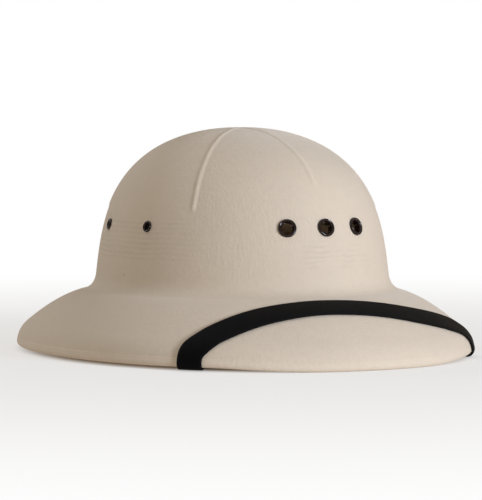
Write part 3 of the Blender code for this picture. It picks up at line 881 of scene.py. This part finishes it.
def enamel_material(colours):
    """Glossy enamel with a faint orange peel, browner where it wears thin."""
    material, tree, shader, where = new_material("black_enamel_gloss")
    peel = noise(tree, where, 1500.0, 2.0)
    thin = smooth(noise(tree, where, 420.0, 4.0, 0.65), 0.56, 0.72)
    feed(shader, {
        "Base Color": mixed(tree, thin * 0.6, rgba(colours.enamel), rgba(colours.enamel_thin)),
        "Roughness": 0.06 + thin * 0.12 + (peel - 0.5) * 0.03,
        "Normal": bumped(tree, peel, 0.00006, 0.4),
        "Specular IOR Level": 0.42})
    return material


def hide_grain():
    """Group that gives the grain of hide, small cells with creases between them; it is made once."""
    tree = bpy.data.node_groups.get("hide_grain")
    if tree:
        return tree
    tree, (where, scale) = new_group("hide_grain", "ShaderNodeTree", [
        ("Vector", "Vector", (0.0, 0.0, 0.0), "Place on the piece"),
        ("Scale", "Float", 1200.0, "Cells in a metre")], [("Height", "Float"), ("Creases", "Float")])
    cells = lay(tree, "ShaderNodeTexVoronoi", {"Vector": where, "Scale": scale},
                feature="DISTANCE_TO_EDGE")
    raised = smooth(Field(cells.outputs["Distance"]), 0.0, 0.22)
    fine = noise(tree, where, 2600.0, 2.0)
    lay(tree, "NodeGroupOutput", {"Height": raised * 0.8 + fine * 0.2, "Creases": 1.0 - raised})
    return tree


def leather_material(name, base, worn, cells, gloss, shine):
    """Coated hide or vinyl: grain, uneven gloss and paler scuffs."""
    material, tree, shader, where = new_material(name)
    grain = lay(tree, "ShaderNodeGroup", {"Vector": where, "Scale": cells}, node_tree=hide_grain())
    height, creases = fields(grain.outputs)
    patches = noise(tree, where, 55.0, 4.0, 0.6)
    scuffs = smooth(noise(tree, where, 300.0, 5.0, 0.7, 0.4), 0.58, 0.74)
    wear = np.minimum(scuffs * 0.35 + attribute(tree, "edge") * 0.5, 1.0)
    feed(shader, {
        "Base Color": mixed(tree, wear, rgba(base), rgba(worn)),
        "Roughness": gloss + (patches - 0.5) * 0.16 + creases * 0.14 + scuffs * 0.10,
        "Normal": bumped(tree, height, 0.00008, 0.5),
        "Specular IOR Level": shine})
    return material


def felt_material(colours):
    """Pressed wool felt: matted fibres and flecks."""
    material, tree, shader, where = new_material("pale_felt")
    stretched = lay(tree, "ShaderNodeMapping", {"Vector": where, "Scale": (1.0, 1.0, 3.5)})
    fibres = noise(tree, stretched, 1400.0, 5.0, 0.75, 1.2)
    clumps = noise(tree, where, 260.0, 3.0, 0.6)
    flecks = smooth(noise(tree, where, 1900.0, 1.0), 0.66, 0.74)
    shade = 0.82 + fibres * 0.25 + (clumps - 0.5) * 0.25 - flecks * 0.3
    feed(shader, {
        "Base Color": scaled(tree, tuple(colours.felt), shade), "Roughness": 0.92 - fibres * 0.08,
        "Normal": bumped(tree, fibres + clumps, 0.00045, 0.8),
        "Sheen Weight": 0.3, "Sheen Roughness": 0.5})
    return material


# ---------------------------------------------------------------- objects

def added(name, data):
    """Object with its data, in the scene."""
    item = bpy.data.objects.new(name, data)
    bpy.context.scene.collection.objects.link(item)
    return item


def piece_of(name, bm, material):
    """Object of a mesh that has been built, with its material."""
    mesh = bpy.data.meshes.new(name)
    bm.to_mesh(mesh)
    bm.free()
    mesh.materials.append(material)
    return added(name, mesh)


def grown(name, tree, groups):
    """Object whose mesh a geometry tree grows from the sizes in some property groups; the tree is
    applied and taken off."""
    piece = added(name, bpy.data.meshes.new(name))
    modifier = piece.modifiers.new("growth", "NODES")
    modifier.node_group = tree
    inputs = [item for item in tree.interface.items_tree if item.in_out == "INPUT"]
    for item, value in zip(inputs, vars(values_of(*groups)).values()):
        modifier[item.identifier] = value
    graph = bpy.context.evaluated_depsgraph_get()
    mesh = bpy.data.meshes.new_from_object(
        piece.evaluated_get(graph), preserve_all_data_layers=True, depsgraph=graph)
    piece.modifiers.clear()
    piece.data = mesh
    mesh.name = name
    if len(mesh.polygons) == 0:
        raise RuntimeError(f"{name} has no faces")
    return piece


def finish_piece(piece, replaced, sharp=None):
    """Smooth shading, then the piece's body and the CAD nodes that it stands for."""
    piece.data.shade_smooth()
    if sharp is not None:
        piece.data.set_sharp_from_angle(angle=sharp)
    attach(piece, BODY)
    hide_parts(*replaced)


# ---------------------------------------------------------------- shell, eyelets and headband

class HELMET_OT_shell(bpy.types.Operator):
    """Makes the pressed shell: crown with ribs and pleats, brim, lip and rolled edge in one wall"""
    bl_idname = "helmet.make_shell"
    bl_label = "Make Shell"

    def execute(self, context):
        scene = context.scene
        material = cover_material(scene.helmet_colours, scene.helmet_crown)
        shell = grown("pressed_shell", shell_tree(material, shell_settings()), shell_settings())
        finish_piece(shell, ["shell"], sharp=radians(50))
        return {"FINISHED"}


class HELMET_OT_eyelets(bpy.types.Operator):
    """Makes the enamelled eyelets of the vent holes, three in front and two on each side"""
    bl_idname = "helmet.make_eyelets"
    bl_label = "Make Eyelets"

    def execute(self, context):
        scene = context.scene
        groups = (scene.helmet_crown, scene.helmet_eyelets)
        tree = eyelets_tree(enamel_material(scene.helmet_colours), groups)
        eyelets = grown("vent_eyelets", tree, groups)
        finish_piece(eyelets, [*FRONT_EYELETS, *SIDE_EYELETS], sharp=radians(60))
        return {"FINISHED"}


class HELMET_OT_headband(bpy.types.Operator):
    """Makes the headband of coated leather"""
    bl_idname = "helmet.make_headband"
    bl_label = "Make Headband"

    def execute(self, context):
        colours = context.scene.helmet_colours
        material = leather_material(
            "coated_leather", colours.band, colours.band_worn, cells=900.0, gloss=0.30, shine=0.45)
        groups = (context.scene.helmet_band,)
        band = grown("sweatband", band_tree(material, groups), groups)
        finish_piece(band, ["headband"], sharp=radians(70))
        return {"FINISHED"}


# ---------------------------------------------------------------- spacers

def meridian(shell, azimuth, zones):
    """Radius and height of points along one meridian of the shell's outer face, in so many steps for
    each zone."""
    points = [zones[0][0](shell, azimuth, 0.0)]
    for rule, steps in zones:
        points += [rule(shell, azimuth, share) for share in np.linspace(0.0, 1.0, steps + 1)[1:]]
    return np.array(points)


def inner_face(line, wall):
    """The points of a meridian moved in by the wall, and in reverse: from the lowest to the highest."""
    along = np.gradient(line, axis=0)
    normals = np.stack([-along[:, 1], along[:, 0]], axis=1)
    normals /= np.linalg.norm(normals, axis=1)[:, None]
    return (line - wall * normals)[::-1]


def spacer_block(bm, shell, middle, gap):
    """Adds a block with soft edges, fitted between the headband and the shell's inner face."""
    corners = bmesh.ops.create_cube(bm, size=2.0)["verts"]
    edges = dict.fromkeys(edge for corner in corners for edge in corner.link_edges)
    bmesh.ops.subdivide_edges(bm, edges=list(edges), cuts=SPACER_CUTS, use_grid_fill=True)
    for vertex in [vertex for vertex in bm.verts if not vertex.tag]:
        vertex.tag = True
        point = np.array(vertex.co)
        across, outward, up = point / np.linalg.norm(point, ord=SPACER_SQUARENESS)
        azimuth = middle + across * SPACER_HALF_ANGLE
        height = between(*SPACER_HEIGHTS, (up + 1) / 2)
        band_share = (height - BAND_HEIGHTS[0]) / (BAND_HEIGHTS[1] - BAND_HEIGHTS[0])
        zones = ((top_rule, 11), (pleats_rule, 11), (wall_rule, 11), (fillet_rule, 11))
        radii, heights = inner_face(meridian(shell, azimuth, zones), shell.wall).T
        near = band_point(azimuth, band_share, 0.0)[0] + gap
        far = np.interp(FOOT_HEIGHT + height, heights, radii) - gap
        vertex.co = polar(azimuth, between(near, far, (outward + 1) / 2), FOOT_HEIGHT + height)


class HELMET_OT_spacers(bpy.types.Operator):
    """Makes the felt spacers between headband and shell"""
    bl_idname = "helmet.make_spacers"
    bl_label = "Make Spacers"

    def execute(self, context):
        scene = context.scene
        shell = values_of(*shell_settings())
        bm = bmesh.new()
        for _, azimuth in SPACERS:
            spacer_block(bm, shell, radians(azimuth), scene.helmet_spacers.gap)
        bmesh.ops.reverse_faces(bm, faces=bm.faces)
        spacers = piece_of("felt_spacers", bm, felt_material(scene.helmet_colours))
        finish_piece(spacers, [name for name, _ in SPACERS])
        return {"FINISHED"}


# ---------------------------------------------------------------- chin strap

def strap_track(shell, azimuth):
    """The way that a strap takes round one meridian: over the brim, round the rolled edge, straight in
    under the brim to the shell's inner face and up inside. Gives its points and their way from the
    foot of the rolled edge."""
    brim = meridian(shell, azimuth, ((brim_rule, 15), (bend_rule, 11), (lip_rule, 3)))
    shares = np.linspace(0.0, STRAP_BEAD_SHARE, 24)[1:]
    bead = np.array([bead_rule(shell, azimuth, share) for share in shares])
    above = meridian(shell, azimuth, ((pleats_rule, 13), (wall_rule, 2), (fillet_rule, 7), (brim_rule, 11)))
    inside = inner_face(above, shell.wall)
    run, climb = bead[-1, 0] - inside[:, 0], inside[:, 1] - bead[-1, 1]
    away = run > STRAP_FREE_RUN
    touch = int(np.argmin(np.where(away, climb / np.where(away, run, 1.0), np.inf)))
    radii, heights = np.concatenate([brim, bead, inside[touch:]]).T
    points = np.stack(polar(azimuth, radii, heights), axis=-1)
    ways = np.concatenate([[0.0], np.cumsum(np.linalg.norm(np.diff(points, axis=0), axis=1))])
    return points, ways - ways[len(brim) + int(np.argmin(bead[:, 1]))]


class StrapGround:
    """The shell as a strap finds it: a table of tracks at even azimuths, read between its entries."""

    STEP = radians(0.5)
    AZIMUTHS = np.arange(radians(-60), radians(60) + STEP, STEP)
    WAYS = np.linspace(-0.075, 0.085, 1300)
    TURN = radians(0.6)           # to either side of a place, and
    REACH = 0.0008                # before and behind it, to find how the ground lies

    def __init__(self, shell):
        tracks = [strap_track(shell, azimuth) for azimuth in self.AZIMUTHS]
        self.table = np.array([
            [np.interp(self.WAYS, ways, points[:, axis]) for axis in range(3)]
            for points, ways in tracks])

    def point(self, azimuth, way):
        place = (azimuth - self.AZIMUTHS[0]) / (self.AZIMUTHS[1] - self.AZIMUTHS[0])
        place = np.clip(place, 0, len(self.AZIMUTHS) - 1.001)
        column = int(place)
        near, far = (
            np.array([np.interp(way, self.WAYS, row) for row in self.table[k]])
            for k in (column, column + 1))
        return between(near, far, place - column)

    def around(self, azimuth, way):
        return self.point(azimuth + self.TURN, way) - self.point(azimuth - self.TURN, way)

    def normal(self, azimuth, way):
        along = self.point(azimuth, way + self.REACH) - self.point(azimuth, way - self.REACH)
        normal = np.cross(along, self.around(azimuth, way))
        return normal / np.linalg.norm(normal)


def smooth_course():
    """Azimuths and ways on a smooth curve through the rows of the strap's course."""
    rows = np.array([(radians(azimuth), way * MM) for azimuth, way, _ in STRAP_COURSE])
    spans = np.hypot(np.diff(rows[:, 0]) * -SHELL_LOW.y, np.diff(rows[:, 1]))
    slopes = np.gradient(rows, np.concatenate([[0.0], np.cumsum(spans)]), axis=0)
    course = []
    for k, (_, _, count) in enumerate(STRAP_COURSE[:-1]):
        for share in np.arange(count) / count:
            square, cube = share ** 2, share ** 3
            course.append(
                (2 * cube - 3 * square + 1) * rows[k]
                + (cube - 2 * square + share) * spans[k] * slopes[k]
                + (3 * square - 2 * cube) * rows[k + 1] + (cube - square) * spans[k] * slopes[k + 1])
    return np.array([*course, rows[-1]])


def strap_profile(width, thickness):
    """Section of the strap: way across it and height above what it lies on, with rounded edges."""
    level = thickness / 2
    flat = width / 2 - level
    below = [(share * flat, 0.0) for share in np.linspace(-1, 1, 11)]
    turns = np.linspace(-pi / 2, pi / 2, 7)[1:-1]
    edge = [(flat + level * np.cos(turn), level + level * np.sin(turn)) for turn in turns]
    half = np.array(below + edge)
    return np.concatenate([half, (0.0, thickness) - half])


def strap_section(ground, profile, lift, place, heading):
    """Closed section square to its heading, bent to the ground across its width."""
    azimuth, way = place
    per_turn = np.linalg.norm(ground.around(azimuth, way)) / (2 * ground.TURN)
    forward = np.array((heading[0] * per_turn, heading[1]))
    forward /= np.linalg.norm(forward)
    row = []
    for across, up in profile:
        here = (azimuth - forward[1] * across / per_turn, way + forward[0] * across)
        row.append(ground.point(*here) + (lift + up) * ground.normal(*here))
    return row


def lofted(rows):
    """Mesh through closed sections, with a face on each end."""
    bm = bmesh.new()
    made = [[bm.verts.new(point) for point in row] for row in rows]
    for near, far in zip(made, made[1:]):
        for k in range(len(near)):
            n = (k + 1) % len(near)
            bm.faces.new((near[k], near[n], far[n], far[k]))
    bm.faces.new(made[0][::-1])
    bm.faces.new(made[-1])
    bmesh.ops.recalc_face_normals(bm, faces=bm.faces)
    return bm


class HELMET_OT_strap(bpy.types.Operator):
    """Makes the chin strap, stored over the front of the brim"""
    bl_idname = "helmet.make_strap"
    bl_label = "Make Chin Strap"

    def execute(self, context):
        sizes, colours = context.scene.helmet_strap, context.scene.helmet_colours
        ground = StrapGround(values_of(*shell_settings()))
        profile = strap_profile(sizes.width, sizes.thickness)
        course = smooth_course()
        rows = [
            strap_section(ground, profile, sizes.lift, place, heading)
            for place, heading in zip(course, np.gradient(course, axis=0))]
        strap = piece_of("stored_chin_strap", lofted(rows), leather_material(
            "satin_vinyl", colours.vinyl, colours.vinyl_worn, cells=1700.0, gloss=0.46, shine=0.06))
        edge = strap.data.attributes.new("edge", "FLOAT", "POINT")
        marks = np.clip(1 - (sizes.width / 2 - abs(profile[:, 0])) / STRAP_WORN_EDGE, 0, 1)
        edge.data.foreach_set("value", np.tile(marks, len(rows)).astype(np.float32))
        finish_piece(strap, ["chin_strap"], sharp=radians(60))
        return {"FINISHED"}


# ---------------------------------------------------------------- stage

WHITE = (1.0, 1.0, 1.0, 1.0)
FLOOR_COLOUR = (0.80, 0.76, 0.72, 1.0)
FLOOR_WARMTH = (1.0, 0.86, 0.70, 1.0)
FLOOR_RADIUS = 12.0
FLOOR_WHITE = 0.55            # how white the camera sees the floor next to the helmet
FLOOR_FADE = (0.10, 0.9)      # from the middle: where it begins to be whiter, and is all white
FLOOR_GLOW = 0.17             # strength of the warm glow that the floor gives off, painted light that stands in for light bounced off it
UNDER_BRIM_GLOW = 0.36        # as much more of it below the brim

# Shares of the way from the middle to the brim's edge.
BRIM_SHADE = (0.88, 1.04)     # the white of the floor begins and is full, which leaves a painted soft shadow round the brim
UNDER_BRIM = (0.62, 0.78, 0.94, 1.0)      # the glow begins, is full, and the part below the brim ends

SKY = (1.0, 0.98, 0.965, 1.0)
GROUND = (0.43, 0.31, 0.19, 1.0)
CAMERA_TARGET = Vector((0.0, 0.0, 0.066))
LIGHT_TARGET = Vector((0.0, 0.0, 0.07))
LIGHTS = {                    # way to the camera's right, towards it and up; diameter; colour
    "key": ((2.76, 2.67, 0.56), 1.0, (0.80, 0.87, 1.0)),
    "rim": ((-3.0, -1.8, 1.8), 1.8, (0.97, 0.985, 1.0)),
}


def floor_material():
    """Pale floor that turns into the plain white surround with distance, and is clear from below."""
    material, tree, shader, where = new_material("pale_floor")
    x, y, _ = parts_of(tree, where)
    reach = distance(x / SHELL_HIGH.x, y / SHELL_LOW.y)
    # The camera sees no white glow under the brim and only a growing share of it past the edge: a painted
    # soft shadow round the helmet's foot.
    away = between(FLOOR_WHITE, 1.0, smooth(distance(x, y), *FLOOR_FADE)) * smooth(reach, *BRIM_SHADE)
    # For the rays that light the helmet, the floor glows, most of all under the brim: painted light from
    # below.
    painted_bounce = smooth(reach, *UNDER_BRIM[:2]) * FLOOR_GLOW + window(reach, UNDER_BRIM) * UNDER_BRIM_GLOW
    seen = Field(lay(tree, "ShaderNodeLightPath").outputs["Is Camera Ray"])
    feed(shader, {"Base Color": FLOOR_COLOUR, "Roughness": 0.9})
    glow = lay(tree, "ShaderNodeEmission", {"Color": mixed(tree, seen, FLOOR_WARMTH, WHITE)})
    glowing = away * seen + (1.0 - seen) * painted_bounce
    faded = lay(tree, "ShaderNodeMixShader", {0: glowing, 1: shader, 2: glow})
    clear = lay(tree, "ShaderNodeBsdfTransparent")
    from_below = lay(tree, "ShaderNodeNewGeometry").outputs["Backfacing"]
    both = lay(tree, "ShaderNodeMixShader", {0: from_below, 1: faded, 2: clear})
    feed(tree.nodes["Material Output"], {"Surface": both})
    return material


def white_surround(strength):
    """World that the camera sees white, and that lights more from above than from below."""
    world = bpy.data.worlds.new("surround")
    world.use_nodes = True
    tree = world.node_tree
    tree.nodes.clear()
    ray = lay(tree, "ShaderNodeTexCoord").outputs["Generated"]
    overhead = smooth(parts_of(tree, ray)[2], -0.1, 1.0)
    lit = lay(tree, "ShaderNodeBackground", {
        "Color": mixed(tree, overhead, GROUND, SKY), "Strength": strength})
    seen = lay(tree, "ShaderNodeBackground", {"Color": WHITE})
    camera_ray = lay(tree, "ShaderNodeLightPath").outputs["Is Camera Ray"]
    both = lay(tree, "ShaderNodeMixShader", {0: camera_ray, 1: lit, 2: seen})
    lay(tree, "ShaderNodeOutputWorld", {"Surface": both})
    return world


def aimed(name, data, place, target):
    """Object at a place, turned to look at a target."""
    item = added(name, data)
    item.location = place
    item.rotation_euler = (target - place).to_track_quat("-Z", "Y").to_euler()
    return item


class HELMET_OT_stage(bpy.types.Operator):
    """Sets the pale floor, the soft lights, the white surround and the camera"""
    bl_idname = "helmet.set_stage"
    bl_label = "Set Stage"

    def execute(self, context):
        scene = context.scene
        settings = scene.helmet_stage
        bm = bmesh.new()
        bmesh.ops.create_circle(bm, cap_ends=True, segments=96, radius=FLOOR_RADIUS)
        floor = piece_of("floor", bm, floor_material())

        front = Vector(polar(settings.azimuth, 1.0, 0.0))
        right = Vector((-front.y, front.x, 0.0))
        upward = Vector((0.0, 0.0, 1.0))
        lens = bpy.data.cameras.new("camera")
        lens.sensor_width = 36.0
        lens.lens = settings.focal
        lens.clip_start = 0.05
        lens.clip_end = 60.0
        back = front * np.cos(settings.elevation) + upward * np.sin(settings.elevation)
        camera = aimed("camera", lens, CAMERA_TARGET + back * settings.distance, CAMERA_TARGET)
        scene.camera = camera

        for name, ((to_right, to_camera, up), diameter, tint) in LIGHTS.items():
            lamp = bpy.data.lights.new(name, "AREA")
            lamp.shape = "DISK"
            lamp.size = diameter
            lamp.energy = getattr(settings, f"{name}_power")
            lamp.color = tint
            light = aimed(name, lamp, right * to_right + front * to_camera + upward * up, LIGHT_TARGET)
            light.visible_camera = False
        scene.world = white_surround(settings.surround)
        scene.view_settings.view_transform = "Standard"
        return {"FINISHED"}


# ---------------------------------------------------------------- add-on

class HELMET_PT_panel(bpy.types.Panel):
    """Buttons for the helmet's pieces and its stage, with their sizes and colours"""
    bl_label = "Pressed Sun Helmet"
    bl_idname = "HELMET_PT_panel"
    bl_space_type = "VIEW_3D"
    bl_region_type = "UI"
    bl_category = "Helmet"

    def draw(self, context):
        for operator, groups in BUTTONS:
            box = self.layout.box()
            box.operator(operator)
            for settings in (getattr(context.scene, group) for group in groups):
                for key in properties_of(settings):
                    box.prop(settings, key)


BUTTONS = (
    ("helmet.make_shell", ("helmet_colours", "helmet_crown", "helmet_shell")),
    ("helmet.make_eyelets", ("helmet_eyelets",)),
    ("helmet.make_headband", ("helmet_band",)),
    ("helmet.make_spacers", ("helmet_spacers",)),
    ("helmet.make_strap", ("helmet_strap",)),
    ("helmet.set_stage", ("helmet_stage",)),
)
SETTINGS = {
    "helmet_colours": Colours,
    "helmet_crown": CrownSizes,
    "helmet_shell": ShellSizes,
    "helmet_eyelets": EyeletSizes,
    "helmet_band": BandSizes,
    "helmet_spacers": SpacerSizes,
    "helmet_strap": StrapSizes,
    "helmet_stage": StageSettings,
}
CLASSES = (
    *SETTINGS.values(), HELMET_OT_shell, HELMET_OT_eyelets, HELMET_OT_headband, HELMET_OT_spacers,
    HELMET_OT_strap, HELMET_OT_stage, HELMET_PT_panel,
)


def register():
    for item in CLASSES:
        bpy.utils.register_class(item)
    for name, group in SETTINGS.items():
        setattr(bpy.types.Scene, name, PointerProperty(type=group))


def unregister():
    for name in SETTINGS:
        delattr(bpy.types.Scene, name)
    for item in reversed(CLASSES):
        bpy.utils.unregister_class(item)


def main():
    register()
    bpy.ops.helmet.make_shell()
    bpy.ops.helmet.make_eyelets()
    bpy.ops.helmet.make_headband()
    bpy.ops.helmet.make_spacers()
    bpy.ops.helmet.make_strap()
    bpy.ops.helmet.set_stage()


if __name__ == "__main__":
    main()
